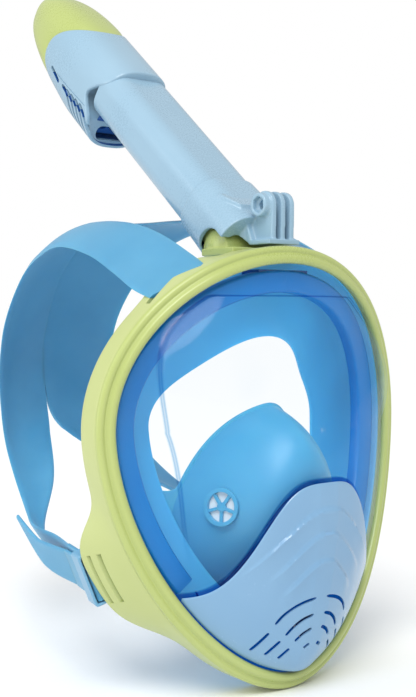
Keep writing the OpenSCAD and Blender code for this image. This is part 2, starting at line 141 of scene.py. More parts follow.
def mesh_object(name, points, faces, sharp=40, caps=()):
    """A smooth-shaded object from points in millimetres; its normals are made to face outwards."""
    mesh = bpy.data.meshes.new(name)
    mesh.from_pydata((np.asarray(points, float).reshape(-1, 3) * MM).tolist(), [], list(faces) + list(caps))
    bm = bmesh.new()
    bm.from_mesh(mesh)
    bmesh.ops.remove_doubles(bm, verts=bm.verts, dist=1e-6)
    bmesh.ops.recalc_face_normals(bm, faces=bm.faces)
    bm.to_mesh(mesh)
    bm.free()
    shade(mesh, sharp)
    obj = bpy.data.objects.new(name, mesh)
    bpy.context.scene.collection.objects.link(obj)
    return obj


def shade(mesh, sharp):
    mesh.polygons.foreach_set("use_smooth", [True] * len(mesh.polygons))
    mesh.set_sharp_from_angle(angle=math.radians(sharp))


def skin(name, rings, closed=False, sharp=40):
    """Solid over rings (m, n, 3). It is a closed band, or its two end rings are capped."""
    rings = np.asarray(rings, float)
    m, n = rings.shape[:2]
    caps = [] if closed else [list(range(n)), list(range((m - 1) * n, m * n))]
    return mesh_object(name, rings, grid_faces(m, n, closed), sharp, caps)


def plate(name, front, back, sharp=40):
    """Solid between two sheets of points (m, n, 3)."""
    return skin(name, np.concatenate([front, back[:, ::-1]], axis=1), sharp=sharp)


def apply_modifiers(obj):
    dg = bpy.context.evaluated_depsgraph_get()
    mesh = bpy.data.meshes.new_from_object(obj.evaluated_get(dg), depsgraph=dg)
    old = obj.data
    obj.modifiers.clear()
    obj.data = mesh
    bpy.data.meshes.remove(old)


def cut(obj, cutter, sharp=40):
    """Takes cutter's volume out of obj, and removes the cutter. Materials are added after the cuts.

    The solver leaves material numbers that mean nothing, so they are set back to the first one.
    """
    modifier = obj.modifiers.new("cut", "BOOLEAN")
    modifier.operation, modifier.solver, modifier.object = "DIFFERENCE", "MANIFOLD", cutter
    apply_modifiers(obj)
    bpy.data.objects.remove(cutter)
    obj.data.materials.clear()
    obj.data.polygons.foreach_set("material_index", [0] * len(obj.data.polygons))
    shade(obj.data, sharp)
    return obj


def join(name, objs):
    """One object holding the meshes of several, with their materials kept."""
    bm = bmesh.new()
    materials = []
    for o in objs:
        start = len(bm.faces)
        bm.from_mesh(o.data)
        bm.faces.ensure_lookup_table()
        for face in bm.faces[start:]:
            if o.data.materials:
                material = o.data.materials[face.material_index]
                if material not in materials:
                    materials.append(material)
                face.material_index = materials.index(material)
    mesh = bpy.data.meshes.new(name)
    bm.to_mesh(mesh)
    bm.free()
    for material in materials:
        mesh.materials.append(material)
    for o in objs:
        bpy.data.objects.remove(o)
    obj = bpy.data.objects.new(name, mesh)
    bpy.context.scene.collection.objects.link(obj)
    return obj


def slots(name, surface, paths, width, out, depth):
    """Cutter made of slots that follow paths on surface(p, q), with rounded ends."""
    made = []
    eps = 0.2
    for path in paths:
        pq = curve(path, 16)
        centre = surface(pq[:, 0], pq[:, 1])
        across_p = surface(pq[:, 0] + eps, pq[:, 1]) - surface(pq[:, 0] - eps, pq[:, 1])
        across_q = surface(pq[:, 0], pq[:, 1] + eps) - surface(pq[:, 0], pq[:, 1] - eps)
        normal = unit(np.cross(across_p, across_q))
        along = unit(np.gradient(centre, axis=0))
        side = unit(np.cross(normal, along))
        share = np.linspace(-1, 1, len(pq))
        half = (width / 2 * np.sqrt(np.maximum(0.02, 1 - np.abs(share) ** 8)))[:, None]
        ring = np.stack([centre + side * half + normal * out, centre - side * half + normal * out,
                         centre - side * half - normal * depth, centre + side * half - normal * depth],
                        axis=1)
        made.append(skin(name, ring))
    return join(name, made)


def finish_piece(obj, body, replaces, materials=()):
    """Gives a piece its materials and body, and hides the CAD nodes it stands for."""
    for material in materials:
        obj.data.materials.append(material)
    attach(obj, body)
    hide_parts(*replaces)
    return obj


# ---- Materials ----


def linear(r, g, b):
    """Linear colour from an sRGB colour of 0 to 255."""
    return tuple(c / 12.92 if c <= 0.04045 else ((c + 0.055) / 1.055) ** 2.4
                 for c in (r / 255, g / 255, b / 255)) + (1.0,)


class Nodes:
    """Short calls for building one material's nodes."""

    def __init__(self, name):
        self.material = bpy.data.materials.new(name)
        self.material.use_nodes = True
        self.tree = self.material.node_tree
        self.tree.nodes.clear()
        self.output = self.add("ShaderNodeOutputMaterial")
        self.place = self.add("ShaderNodeTexCoord").outputs["Object"]

    def add(self, kind, inputs=None, **settings):
        node = self.tree.nodes.new(kind)
        for key, value in settings.items():
            setattr(node, key, value)
        for key, value in (inputs or {}).items():
            self.put(node.inputs[key], value)
        return node

    def put(self, socket, value):
        if isinstance(value, bpy.types.NodeSocket):
            self.tree.links.new(value, socket)
        else:
            socket.default_value = value

    def noise(self, scale, detail, roughness=0.5):
        inputs = {"Vector": self.place, "Scale": scale, "Detail": detail, "Roughness": roughness}
        return self.add("ShaderNodeTexNoise", inputs).outputs["Fac"]

    def span(self, value, low, high, from_low=0.3, from_high=0.7):
        inputs = {"Value": value, "From Min": from_low, "From Max": from_high,
                  "To Min": low, "To Max": high}
        return self.add("ShaderNodeMapRange", inputs).outputs["Result"]

    def mix(self, share, first, second):
        node = self.add("ShaderNodeMix", data_type="RGBA")
        self.put(node.inputs[0], share)
        self.put(node.inputs[6], first)
        self.put(node.inputs[7], second)
        return node.outputs[2]

    def maths(self, operation, first, second=0.0, clamp=False):
        node = self.add("ShaderNodeMath", operation=operation, use_clamp=clamp)
        self.put(node.inputs[0], first)
        self.put(node.inputs[1], second)
        return node.outputs[0]

    def bump(self, height, strength, distance):
        inputs = {"Height": height, "Strength": strength, "Distance": distance}
        return self.add("ShaderNodeBump", inputs).outputs["Normal"]

    def attribute(self, name):
        return self.add("ShaderNodeAttribute", attribute_name=name).outputs["Fac"]

    def surface(self, shader):
        self.tree.links.new(shader.outputs[0], self.output.inputs["Surface"])
        return self.material


def plastic(name, colour, shadow, roughness, coat=0.0, subsurface=0.0):
    """Injection-moulded plastic: faint flow clouds in the colour, and a fine moulded grain."""
    n = Nodes(name)
    clouds = n.noise(14.0, 3.0, 0.55)
    fine = n.noise(900.0, 3.0, 0.6)
    waves = n.noise(60.0, 2.0)
    rough = n.span(n.maths("ADD", n.maths("MULTIPLY", fine, 0.4), n.maths("MULTIPLY", clouds, 0.6)),
                   roughness - 0.05, roughness + 0.06)
    height = n.maths("ADD", n.maths("MULTIPLY", fine, 0.04), waves)
    shader = n.add("ShaderNodeBsdfPrincipled", {
        "Base Color": n.mix(n.span(clouds, 0.0, 1.0), shadow, colour),
        "Roughness": rough,
        "Normal": n.bump(height, 0.04, 0.0002),
        "IOR": 1.49,
        "Coat Weight": coat,
        "Coat Roughness": 0.12,
        "Subsurface Weight": subsurface,
        "Subsurface Scale": 0.004,
    })
    shader.inputs["Subsurface Radius"].default_value = (0.6, 0.8, 1.0)
    return n.surface(shader)


def silicone(name, colour, deep, roughness, subsurface=0.35, painted_glow=0.0):
    """Soft moulded silicone, with painted light: a flat blue emission glow that stands in for the light
    passing through it.
    """
    n = Nodes(name)
    clouds = n.noise(22.0, 3.0, 0.6)
    skin_grain = n.noise(1400.0, 2.0, 0.5)
    ripple = n.noise(75.0, 2.0)
    shader = n.add("ShaderNodeBsdfPrincipled", {
        "Base Color": n.mix(n.span(clouds, 0.0, 1.0), deep, colour),
        "Roughness": n.span(n.maths("ADD", n.maths("MULTIPLY", skin_grain, 0.5),
                                    n.maths("MULTIPLY", clouds, 0.5)), roughness - 0.06, roughness + 0.08),
        "Normal": n.bump(n.maths("ADD", n.maths("MULTIPLY", skin_grain, 0.35), ripple), 0.16, 0.0004),
        "IOR": 1.43,
        "Subsurface Weight": subsurface,
        "Subsurface Scale": 0.005,
        "Sheen Weight": 0.12,
        "Sheen Roughness": 0.4,
    })
    shader.inputs["Subsurface Radius"].default_value = (0.35, 0.75, 1.0)
    shader.inputs["Sheen Tint"].default_value = (0.75, 0.9, 1.0, 1.0)
    # Painted glow: this emission lights the silicone up though it is no lamp
    shader.inputs["Emission Color"].default_value = (0.2, 0.7, 0.95, 1.0)
    shader.inputs["Emission Strength"].default_value = painted_glow
    return n.surface(shader)


def clear_plastic(name, thin, painted_shade_colour, roughness):
    """See-through moulding, with painted shade: darker where the vertex attribute says, along the crease,
    and from just above the chin cover's edge down.
    """
    n = Nodes(name)
    clouds = n.noise(18.0, 2.0)
    apart = n.add("ShaderNodeSeparateXYZ", {"Vector": n.place})
    across = n.maths("MULTIPLY", n.maths("ABSOLUTE", apart.outputs["X"]), 1 / (CHIN_HUMP_W * MM))
    hump = n.maths("EXPONENT", n.maths("MULTIPLY", n.maths("POWER", across, CHIN_HUMP_POWER), -1.0))
    edge = n.maths("ADD", n.maths("MULTIPLY", hump, CHIN_RISE * MM), CHIN_LINE * MM)
    above = n.maths("SUBTRACT", apart.outputs["Z"], edge)
    # Painted shade: dark from just above the chin cover's edge down, a band in the step above the cover;
    # the clouds add a faint random tone
    below = n.span(above, 1.0, 0.0, 1.6 * MM, 2.6 * MM)
    step_shade_and_clouds = n.maths("ADD", below, n.span(clouds, -0.03, 0.03))
    painted_shade_tint = n.maths("ADD", n.attribute("painted_shade_tint"), step_shade_and_clouds, clamp=True)
    through = n.add("ShaderNodeBsdfTransparent", {"Color": n.mix(painted_shade_tint, thin, painted_shade_colour)})
    gloss = n.add("ShaderNodeBsdfGlossy", {"Roughness": n.span(clouds, roughness, roughness + 0.03)})
    gloss.inputs["Color"].default_value = (1, 1, 1, 1)
    facing = n.add("ShaderNodeLayerWeight", {"Blend": 0.5}).outputs["Facing"]
    shine = n.maths("ADD", n.maths("MULTIPLY", n.maths("POWER", facing, 5.0), 0.16), 0.008)
    mixed = n.add("ShaderNodeMixShader", {0: shine, 1: through.outputs[0], 2: gloss.outputs[0]})
    return n.surface(mixed)


green = plastic("green_plastic", linear(182, 194, 120), linear(176, 189, 112), 0.3, coat=0.15)
green_pale = plastic("pale_green_plastic", linear(190, 199, 136), linear(184, 194, 126), 0.36, coat=0.1)
light_blue = plastic("light_blue_plastic", linear(152, 184, 204), linear(146, 179, 200), 0.28, coat=0.25)
chin_blue = plastic("chin_blue_plastic", linear(130, 172, 206), linear(122, 165, 201), 0.24, coat=0.3)
keeper_blue = plastic("keeper_blue_plastic", linear(118, 172, 205), linear(110, 165, 199), 0.34)
# Navy for the top duct and float cage, and as painted shade on the inner faces of the snorkel head
navy_and_painted_shade = plastic("navy_plastic_and_painted_inner_shade", linear(28, 88, 160), linear(22, 74, 146), 0.4)
valve_white = plastic("white_valve_rubber", linear(236, 242, 246), linear(228, 236, 242), 0.45,
                      subsurface=0.2)
strap_silicone = silicone("strap_silicone", linear(90, 160, 196), linear(80, 151, 189), 0.42)
# The skirt and the nose cup carry painted glow, the skirt more of it
skirt_silicone = silicone("skirt_silicone", linear(52, 160, 214), linear(42, 148, 206), 0.34, 0.45,
                          painted_glow=0.2)
cup_silicone = silicone("cup_silicone", linear(88, 172, 210), linear(78, 162, 204), 0.34, 0.45,
                        painted_glow=0.04)
seal_rubber = silicone("seal_rubber", linear(34, 84, 150), linear(28, 74, 138), 0.5, subsurface=0.1)
# The second colour is painted shade, for the lens's crease line and its step above the chin cover
lens_clear = clear_plastic("lens_polycarbonate", (0.975, 0.99, 1.0, 1), (0.2, 0.5, 0.78, 1), 0.02)
channel_blue = plastic("channel_blue_plastic", linear(0, 130, 206), linear(0, 118, 197), 0.35)


# ---- The rim, as seen from the front: t is 0 at the top and 90 at +X ----

RIM_HALF_W, RIM_TOP, RIM_BOTTOM, CHIN_POWER = 94.0, 85.0, 129.0, 1.75
RIM_FRONT, RIM_SWEEP = 32.0, 25.0
BEZEL_W = 9.5
LENS_T, LENS_FRONT, DRAIN_GAP = 2.2, 60.0, 5.0
WALL_DEPTH, WALL_T = 17.0, 2.4
LUG_DEPTH, LUG_FLARE = 13.0, 12.0
STRAP_T, TAIL_T, STRAP_END_H = 2.2, 2, 24.0


def rim_xz(t):
    """Outline of the rim: half an ellipse above, a rounder and longer superellipse below."""
    s, c = np.sin(np.radians(t)), np.cos(np.radians(t))
    low = 2 / CHIN_POWER
    x = RIM_HALF_W * np.where(c >= 0, s, power(s, low))
    return x, np.where(c >= 0, RIM_TOP * c, -RIM_BOTTOM * np.abs(c) ** low)


def rim_y(x):
    return -RIM_FRONT + RIM_SWEEP * (x / RIM_HALF_W) ** 2


def rim_point(t, n, y):
    """Points n outwards of the rim and y behind its front; t, n and y broadcast together."""
    h = 0.5
    (x0, z0), (x1, z1), (x, z) = rim_xz(t - h), rim_xz(t + h), rim_xz(t)
    dx, dz = x1 - x0, z1 - z0
    size = np.hypot(dx, dz)
    return np.stack(np.broadcast_arrays(x - n * dz / size, rim_y(x) + y, z + n * dx / size), axis=-1)


def rim_half_width(z):
    """Half width of the rim at the height z. It stays full above the middle."""
    return RIM_HALF_W * (1 - np.clip(-z / RIM_BOTTOM, 0, 1) ** CHIN_POWER) ** (1 / CHIN_POWER)


def rim_ring(name, profile, radii, steps=240, sharp=40):
    """Ring along the rim whose section at t is profile(t) -> K pairs of [outwards, backwards]."""
    t = np.arange(steps) * 360 / steps
    corners = [np.stack(np.broadcast_arrays(n + 0 * t, y + 0 * t), -1) for n, y in profile(t)]
    section = soften(np.stack(corners, 1), radii)
    return skin(name, rim_point(t[:, None], section[..., 0], section[..., 1]), closed=True, sharp=sharp)


# ---- Lens surface ----

NOSE_Z, SWEEP_UP, SWEEP_DOWN = -26.0, 16.0, 27.0


def ridge_y(z):
    """Middle line of the lens. It is furthest forward at NOSE_Z and sweeps back above and below."""
    low, high = np.clip((NOSE_Z - z) / (RIM_BOTTOM + NOSE_Z), 0, 1), np.maximum(0, (z - NOSE_Z) / 94)
    return np.where(z > NOSE_Z, -LENS_FRONT + SWEEP_UP * high**1.6,
                    -LENS_FRONT + SWEEP_DOWN * (1 - np.sqrt(np.maximum(0, 1 - low**1.7))))


def side_curve(z):
    """How fast the lens falls back to its sides. Below the middle it just meets the rim."""
    w = np.maximum(1, rim_half_width(z))
    return np.where(z > 0, 0.0044 + 1.8e-6 * (z - 27) ** 2, (rim_y(w) - ridge_y(z)) / w**2)


def window_y(x, z):
    return ridge_y(z) + side_curve(z) * x * x


def crease(t):
    """How far out to the rim the crease round the window lies."""
    a = np.abs(np.where(t > 180, t - 360, t))
    top = np.minimum(0.8 / np.maximum(0.5, np.cos(np.radians(a))), 0.95)
    side = 0.95 - 0.175 * np.sin(np.radians(1.8 * np.maximum(0, a - 50))) ** 2
    return np.where(a < 34, top, np.where(a > 150, 0.95, side))


def lens_y(t, r):
    """Front of the lens at r of the way out to the rim, its crease rounded over a few millimetres."""
    c = crease(t)
    x, z = rim_xz(t)
    total = 0.0
    spread = np.linspace(-0.018, 0.018, 7)
    for d in spread:
        q = np.clip(r + d, 0, 1)
        k = (1 - q) / (1 - c)
        total = total + np.where(q <= c, window_y(q * x, q * z),
                                 k * window_y(c * x, c * z) + (1 - k) * rim_y(x))
    return total / len(spread)


def chin_edge(x):
    return CHIN_LINE + CHIN_RISE * np.exp(-((np.abs(x) / CHIN_HUMP_W) ** CHIN_HUMP_POWER))


def lens_points(t, r, back):
    """Lens surface, which steps back behind the chin cover to leave room for the drain."""
    x, z = rim_xz(t)
    x, z = r * x, r * z
    y = lens_y(t, r) + back
    y = y + DRAIN_GAP * smooth((chin_edge(x) - 1 - z) / 4) * smooth((1 - r) / 0.08)
    return np.stack([x, y, z], axis=-1)


def set_attribute(obj, name, values):
    attribute = obj.data.attributes.new(name, "FLOAT", "POINT")
    attribute.data.foreach_set("value", np.asarray(values, np.float32))


def lens():
    steps = 240
    t = (np.arange(steps) * 360 / steps)[None, :]
    c = crease(t)
    close = np.array([0.003, 0.006, 0.01, 0.015])
    inner = np.concatenate([np.linspace(0, 0.95, 26), 1 - close[::-1] * 1.2, [1]])[:, None] * c
    outer = np.concatenate([c + close[:, None], c + (1 - c) * np.linspace(0.12, 1, 13)[:, None]])
    radii = np.concatenate([inner, outer])
    front = lens_points(t, radii, 0.6)
    back = lens_points(t, radii[::-1] * 0.995, 0.6 + LENS_T)
    flange = [rim_point(t, 2.8, y) for y in (0.6, 0.6 + LENS_T)]
    obj = skin("lens_shell", np.concatenate([front, *flange, back]), closed=True, sharp=35)
    co = np.array([v.co for v in obj.data.vertices]) / MM
    x, z = co[:, 0], co[:, 2]
    angle = np.degrees(np.arctan2(x, z)) % 360
    # The rim's own parameter at each vertex, from the direction it lies in
    table_t = np.linspace(0, 360, 1441)
    rim_table = rim_xz(table_t)
    table_angle = np.degrees(np.unwrap(np.arctan2(*rim_table)))
    at = np.interp(angle, table_angle, table_t)
    rim_at = rim_xz(at)
    share = np.hypot(x, z) / np.maximum(1, np.hypot(*rim_at))
    # Painted shade: a darker line along the crease, standing in for the light bent at the crease
    line = np.exp(-(((share - crease(at)) / 0.0045) ** 2)) * smooth((z + 70) / 40) * 0.8
    set_attribute(obj, "painted_shade_tint", line)
    return finish_piece(obj, "mask", ["lens"], [lens_clear])


# ---- Mask body ----


def lug(z):
    """Where the strap lugs are: 1 at their height, 0 away from them."""
    return np.exp(-(((z + 68) / 27) ** 4))


def upper_lug(z):
    return np.exp(-(((z - 76) / 16) ** 4))


def frame_section(t):
    """Section of the side wall, which is deeper and flares out at the lugs."""
    x, z = rim_xz(t)
    side = smooth((np.abs(x) - 30) / 12)
    s, u = lug(z) * side, upper_lug(z) * side
    f, d, w = LUG_FLARE * s + 3 * u, WALL_DEPTH + LUG_DEPTH * s, BEZEL_W - 0.2
    return [(2.8, 3.2), (w, 3.2), (w + 0.2 * f, 9), (w + f, d), (w + f - WALL_T, d),
            (w + 0.2 * f - WALL_T, 9), (w - WALL_T, 5.6), (2.8, 5.6)]


def bezel():
    corners = [(0.1, 0.4), (0.1, -1.4), (0.9, -2.6), (2.5, -3.1), (4.2, -2.6), (5.1, -1), (5.8, 0),
               (7.2, -0.5), (8.6, 0), (9.5, 1.4), (9.5, 3), (3, 3), (3, 0.4)]
    radii = [0.2, 0.6, 1, 1, 1, 0.8, 0.7, 0.8, 1, 0.9, 0.3, 0, 0]
    obj = rim_ring("bezel_ring", lambda t: corners, radii, sharp=60)
    return finish_piece(obj, "mask", ["bezel"], [green])


STRIP_POS, STRIP_TURN, STRIP_ROLL, STRIP_LEN = np.array([-91, 11.5, -75.0]), 15.0, 21.0, 40.0
FOLD_AT = 4.9  # where along the strap's end it turns back
LUG_SLOTS = [(-2, 0, 1.8), (-7, -4, 2.4)]  # how far along the strap, how far out, and width
UPPER_SLOT_POS, UPPER_SLOT_TILT, UPPER_SLOT_SIZE = (-62, -10, 74), math.radians(41), (34, 3.4, 14)
SIN_TURN, COS_TURN = math.sin(math.radians(STRIP_TURN)), math.cos(math.radians(STRIP_TURN))
SIN_ROLL, COS_ROLL = math.sin(math.radians(STRIP_ROLL)), math.cos(math.radians(STRIP_ROLL))
STRIP_ALONG = np.array([SIN_TURN, COS_TURN, 0])
STRIP_UP = np.array([-SIN_ROLL * COS_TURN, SIN_ROLL * SIN_TURN, COS_ROLL])
STRIP_OUT = -np.cross(STRIP_ALONG, STRIP_UP)


def strip_at(l, h, out=0.0):
    """Point l along the strap's straight end beside the left lug, h up it and out of it."""
    return STRIP_POS + l * STRIP_ALONG + h * STRIP_UP + out * STRIP_OUT


def box_at(name, centre, axes, sizes):
    """Plain box cutter with its own axes."""
    half = [np.asarray(axis) * size / 2 for axis, size in zip(axes, sizes)]
    corners = [np.asarray(centre, float) + i * half[0] + j * half[1] + k * half[2]
               for i in (-1, 1) for j in (-1, 1) for k in (-1, 1)]
    faces = [(0, 1, 3, 2), (4, 6, 7, 5), (0, 4, 5, 1), (2, 3, 7, 6), (0, 2, 6, 4), (1, 5, 7, 3)]
    return mesh_object(name, corners, faces)


def mirrored(v):
    """The same points on the other side of the mask."""
    return np.asarray(v, float) * [-1, 1, 1]


def rear_frame():
    obj = rim_ring("side_frame", frame_section, [0.2, 0.8, 3, 1.1, 1.1, 3, 1, 0.2], steps=300)
    for turn in (np.array, mirrored):
        axes = [turn(STRIP_OUT), turn(STRIP_ALONG), turn(STRIP_UP)]
        for along, out, width in LUG_SLOTS:
            cut(obj, box_at("slot", turn(strip_at(along, 0, out)), axes, (14, width, STRAP_END_H + 4)))
        c, s = math.cos(UPPER_SLOT_TILT), math.sin(UPPER_SLOT_TILT)
        lean = [turn([c, 0, s]), turn([0, 1, 0]), turn([-s, 0, c])]
        cut(obj, box_at("slot", turn(UPPER_SLOT_POS), lean, UPPER_SLOT_SIZE))
    return finish_piece(obj, "mask", ["rear_frame"], [green_pale])


def skirt():
    def section(t):
        upper = rim_xz(t)[1] > 0
        side = np.sin(np.radians(t)) ** 2
        temple = np.where(upper, np.sin(np.radians(2 * t)) ** 2, 0)
        lip = 36 + (1 - side) * np.where(upper, 2, -11) + 5 * temple
        back = WALL_DEPTH + 9 + 4 * side + 3 * temple
        return [(2.4, 6), (5.4, 6), (6, 12), (2, back - 3), (-6, back), (-lip * 0.6, back - 1),
                (-lip, back - 6), (-lip, back - 8), (-lip * 0.6, back - 3.6), (-6, back - 2.8),
                (-0.6, back - 5.5), (3, 12)]

    obj = rim_ring("face_skirt", section, [0.5, 0.5, 3, 5, 4, 6, 1, 1, 6, 3, 5, 3], sharp=60)
    return finish_piece(obj, "mask", ["skirt"], [skirt_silicone])


CUP_W, CUP_Z, CUP_UP, CUP_DOWN, CUP_ROUND, CUP_T = 46.0, -48.0, 58.0, 50.0, 1.2, 2


def cup_point(t, u, grow):
    """Point of the nose cup at u from its crown 0 to its rim 1, as in the CAD."""
    s, c = np.sin(np.radians(t)), np.cos(np.radians(t))
    side = np.where(c > 0, power(s, CUP_ROUND), s)
    rise = np.where(c > 0, np.abs(c) ** CUP_ROUND, c)
    rim = np.where(rise > 0, 12 - 17 * rise - 10.7 * rise**6, 12 + 4 * rise)
    z = CUP_Z + u * rise * (grow + np.where(rise > 0, CUP_UP, CUP_DOWN))
    crown = -49 - grow + 10 * smooth((-25 - z) / 45)
    y = crown + (rim - crown) * u ** np.where(rise > 0, 3 + 2 * rise**2, 3)
    return np.stack(np.broadcast_arrays(u * (CUP_W + grow) * side, y, z), axis=-1)


def web_ring(t, back):
    """Edge of the web that joins the sides and foot of the cup to the skirt's lip."""
    low = smooth((0.35 - np.cos(np.radians(t))) / 0.5)[..., None]
    bead = cup_point(t, 1, 1.5)
    to = 180 + (t - 180) * 0.755
    side = np.sin(np.radians(to)) ** 2
    lip = rim_point(to, -35 + 11 * (1 - side), WALL_DEPTH + 3 + 4 * side)
    return bead + low * (lip - bead) + [0, back, 0]


VALVE_POS, VALVE_DIR, SEAT_R = np.array([35, -18, -40.7]), np.array([0.9, -0.42, 0.1]), 9.8


def rod(name, centre, direction, radius, length):
    """Plain cylinder cutter."""
    z = unit(np.asarray(direction, float))
    x = unit(np.cross(z, [0, 0, 1.0]))
    y = np.cross(z, x)
    a = np.radians(np.arange(0, 360, 7.5))[:, None]
    ring = np.asarray(centre, float) + radius * (np.cos(a) * x + np.sin(a) * y)
    return skin(name, np.stack([ring - z * length / 2, ring + z * length / 2]))


def nose_cup():
    t = np.arange(0, 360, 3.0)[None, :]
    u = np.concatenate([np.linspace(0.02, 0.8, 14), np.linspace(0.84, 1, 9)])[:, None]
    lip = [(0.35, 0.1), (0.85, 0.1), (1, 0.6), (1, 1.4), (0.8, 1.9), (0.3, 1.9)]
    edge = [web_ring(t, back) * share + cup_point(t, 1, -share) * (1 - share) for share, back in lip]
    rings = [cup_point(t, u, 0), *edge, cup_point(t, u[::-1], -CUP_T)]
    obj = skin("nose_pocket", np.concatenate(rings), sharp=50)
    for turn in (np.array, mirrored):
        cut(obj, rod("hole", turn(VALVE_POS), turn(VALVE_DIR), SEAT_R - 0.6, 24))
    return finish_piece(obj, "mask", ["nose_cup"], [cup_silicone])


CHANNEL_FOOT = 133.5  # how far round the rim from the top, in degrees


def air_channel(name, turn):
    """Half-pipe along the inside of the rim, open to the back."""
    profile = np.array([(-3, 5.2), (-4, 3.8), (-14, 3.8), (-15, 5.2), (-15, 11), (-13.6, 11), (-13.6, 5.4),
                        (-4.4, 5.4), (-4.4, 11), (-3, 11)], float)
    section = soften(profile[None], [0.6, 0.8, 0.8, 0.6, 0.3, 0.3, 0.6, 0.6, 0.3, 0.3])[0]
    t = np.linspace(0.02, CHANNEL_FOOT, 102)[:, None]
    obj = skin(name + "_pipe", turn(rim_point(t, section[:, 0], section[:, 1])))
    return finish_piece(obj, "mask", [name], [channel_blue])


# ---- Chin cover ----

CHIN_HALF_W, CHIN_SLOT_W = 64.0, 1.9
CHIN_FRONT, CHIN_BACK = 1.6, 0.4  # how far in front of the lens its two faces lie
RIB_DEPTH, RIB_EDGE = 1.8, 1.4
# Height at the middle, roundness and half width
CHIN_RIBS = [(-39.3, 13, 46), (-51.7, 9, 33), (-65.4, 7, 25)]
# Slots of the left half, as points (x, z)
CHIN_SLOTS = [[(-3.6, -85.6), (-10.6, -87.2), (-16.5, -89.8), (-21, -93.4), (-24, -97.8)],
              [(-26, -102.3), (-29, -107.3), (-31.6, -112)],
              [(-3.6, -94.4), (-9.4, -96.4), (-14, -99.9), (-17.4, -104.4)],
              [(-19.3, -107.3), (-22.1, -111.3), (-24.2, -115)],
              [(-3.4, -102), (-8, -104.4), (-11.6, -108.2)],
              [(-13.4, -112.1), (-15.6, -115), (-17.2, -117.6)],
              [(-2.6, -110.6), (-5.6, -112.6)]]


def rim_foot(x):
    """Height of the rim's lower edge."""
    return -RIM_BOTTOM * (1 - (np.abs(x) / RIM_HALF_W) ** CHIN_POWER) ** (1 / CHIN_POWER)


def before_lens(x, z, gap):
    """Smooth surface in front of the lens, which stands out a little more at the foot."""
    return window_y(x, z) - gap + 0.6 * smooth((z + RIM_BOTTOM - 1) / 4)


def chin_face(x, z):
    """Front surface of the chin cover, with its middle panel and its shingled ribs."""
    y = before_lens(x, z, CHIN_FRONT)
    off = np.maximum(0, np.abs(x) - 6)
    y = y + 0.13 * off * np.exp(-off / 12)
    for middle, roundness, half_w in CHIN_RIBS:
        below = middle - ((np.abs(x) ** 3 + roundness**3) ** (1 / 3) - roundness) - z
        fade = smooth((half_w - np.abs(x)) / (0.35 * half_w))
        y = y - RIB_DEPTH * smooth(below / RIB_EDGE) * np.exp(-np.maximum(0, below) / 6) * fade
    return np.stack([x, y, z], axis=-1)


def chin_cover():
    x = np.linspace(-CHIN_HALF_W, CHIN_HALF_W, 165)[:, None]
    low = rim_foot(x) + 1.2
    v = np.concatenate([[0, 0.006, 0.015], np.linspace(0.03, 0.97, 74), [0.985, 0.994, 1]])[None, :]
    z = low + v * (chin_edge(x) - low)
    front = chin_face(x + 0 * z, z)
    edge = np.minimum(v, 1 - v) * (chin_edge(x) - low)
    front[..., 1] += 0.7 * rounded_edge(edge, 1.1)
    back = chin_face(x + 0 * z, z)
    back[..., 1] = before_lens(x, z, CHIN_BACK)
    obj = plate("chin_shield", front, back, sharp=50)
    cut(obj, slots("chin_slots", chin_face, both_sides(CHIN_SLOTS, 0), CHIN_SLOT_W, 2, 4), sharp=50)
    return finish_piece(obj, "mask", ["chin_cover"], [chin_blue])


# ---- Snorkel ----

TUBE_ANGLE = math.radians(39.84)
TUBE_FOOT = np.array([0, 28.57, 119.81])
TUBE_UP = np.array([0, math.cos(TUBE_ANGLE), math.sin(TUBE_ANGLE)])
TUBE_UNDER = np.array([0, math.sin(TUBE_ANGLE), -math.cos(TUBE_ANGLE)])
HEAD_HALF_W, HEAD_REACH, HEAD_ROUND = 24.0, 28.5, 0.74
HEAD_BODY, HEAD_TIP = 150.0, 244.0  # where the taper starts and where it ends
HEAD_MIDDLE = 8.0  # how far below the tube's axis the middle of the head lies
HEAD_WALL = 2.2
PARTING_TOP, PARTING_DIP, PARTING_MIDDLE, PARTING_REACH = 190, 26, 10, 29


def on_tube(x, beta, alpha):
    """Point x to the side, beta below the tube's axis and alpha up it."""
    x, beta, alpha = np.broadcast_arrays(x, beta, alpha)
    side = np.stack([x, 0 * x, 0 * x], axis=-1)
    return TUBE_FOOT + side + beta[..., None] * TUBE_UNDER + alpha[..., None] * TUBE_UP


def head_section(q, alpha, wall=0.0):
    """x and beta of the head's surface at the angle q round it, wall inside its outer face."""
    s = np.clip((alpha - HEAD_BODY) / (HEAD_TIP - HEAD_BODY), 0, 1)
    nose = np.sqrt(np.maximum(0, 1 - s**3))
    hump = (1 - 0.65 * s**1.2) * np.sqrt(np.maximum(0, 1 - s**8))
    side, face = np.cos(np.radians(q)), np.sin(np.radians(q))
    reach = HEAD_REACH * np.where(face < 0, nose, hump)
    return (np.maximum(0, HEAD_HALF_W * nose - wall) * power(side, HEAD_ROUND),
            HEAD_MIDDLE + np.maximum(0, reach - wall) * power(face, HEAD_ROUND))


def head_surface(q, alpha, wall=0.0):
    x, beta = head_section(q, alpha, wall)
    return on_tube(x, beta, alpha)


def parting(beta):
    """Line where the cap meets the housing."""
    return PARTING_TOP - PARTING_DIP * ((beta - PARTING_MIDDLE) / PARTING_REACH) ** 2


FOOT_LINE = curve([(-30, 111), (-12, 112), (-2, 122), (6, 128), (12, 124), (20, 118), (40, 115)], 8)


def foot(beta):
    """Lower edge of the housing."""
    return np.interp(beta, FOOT_LINE[:, 0], FOOT_LINE[:, 1])


def height_on(q, line):
    """Where the head's surface at the angle q meets a line that is drawn on its side."""
    alpha = np.full(np.shape(q), 150.0)
    for _ in range(40):
        alpha = 0.5 * alpha + 0.5 * line(head_section(q, alpha)[1])
    return alpha


def head_angles():
    """Angles that are closer where the superellipse turns faster, so that its corners stay round."""
    q = np.arange(160) * 2.25
    return q - 4 * np.sin(np.radians(4 * q))


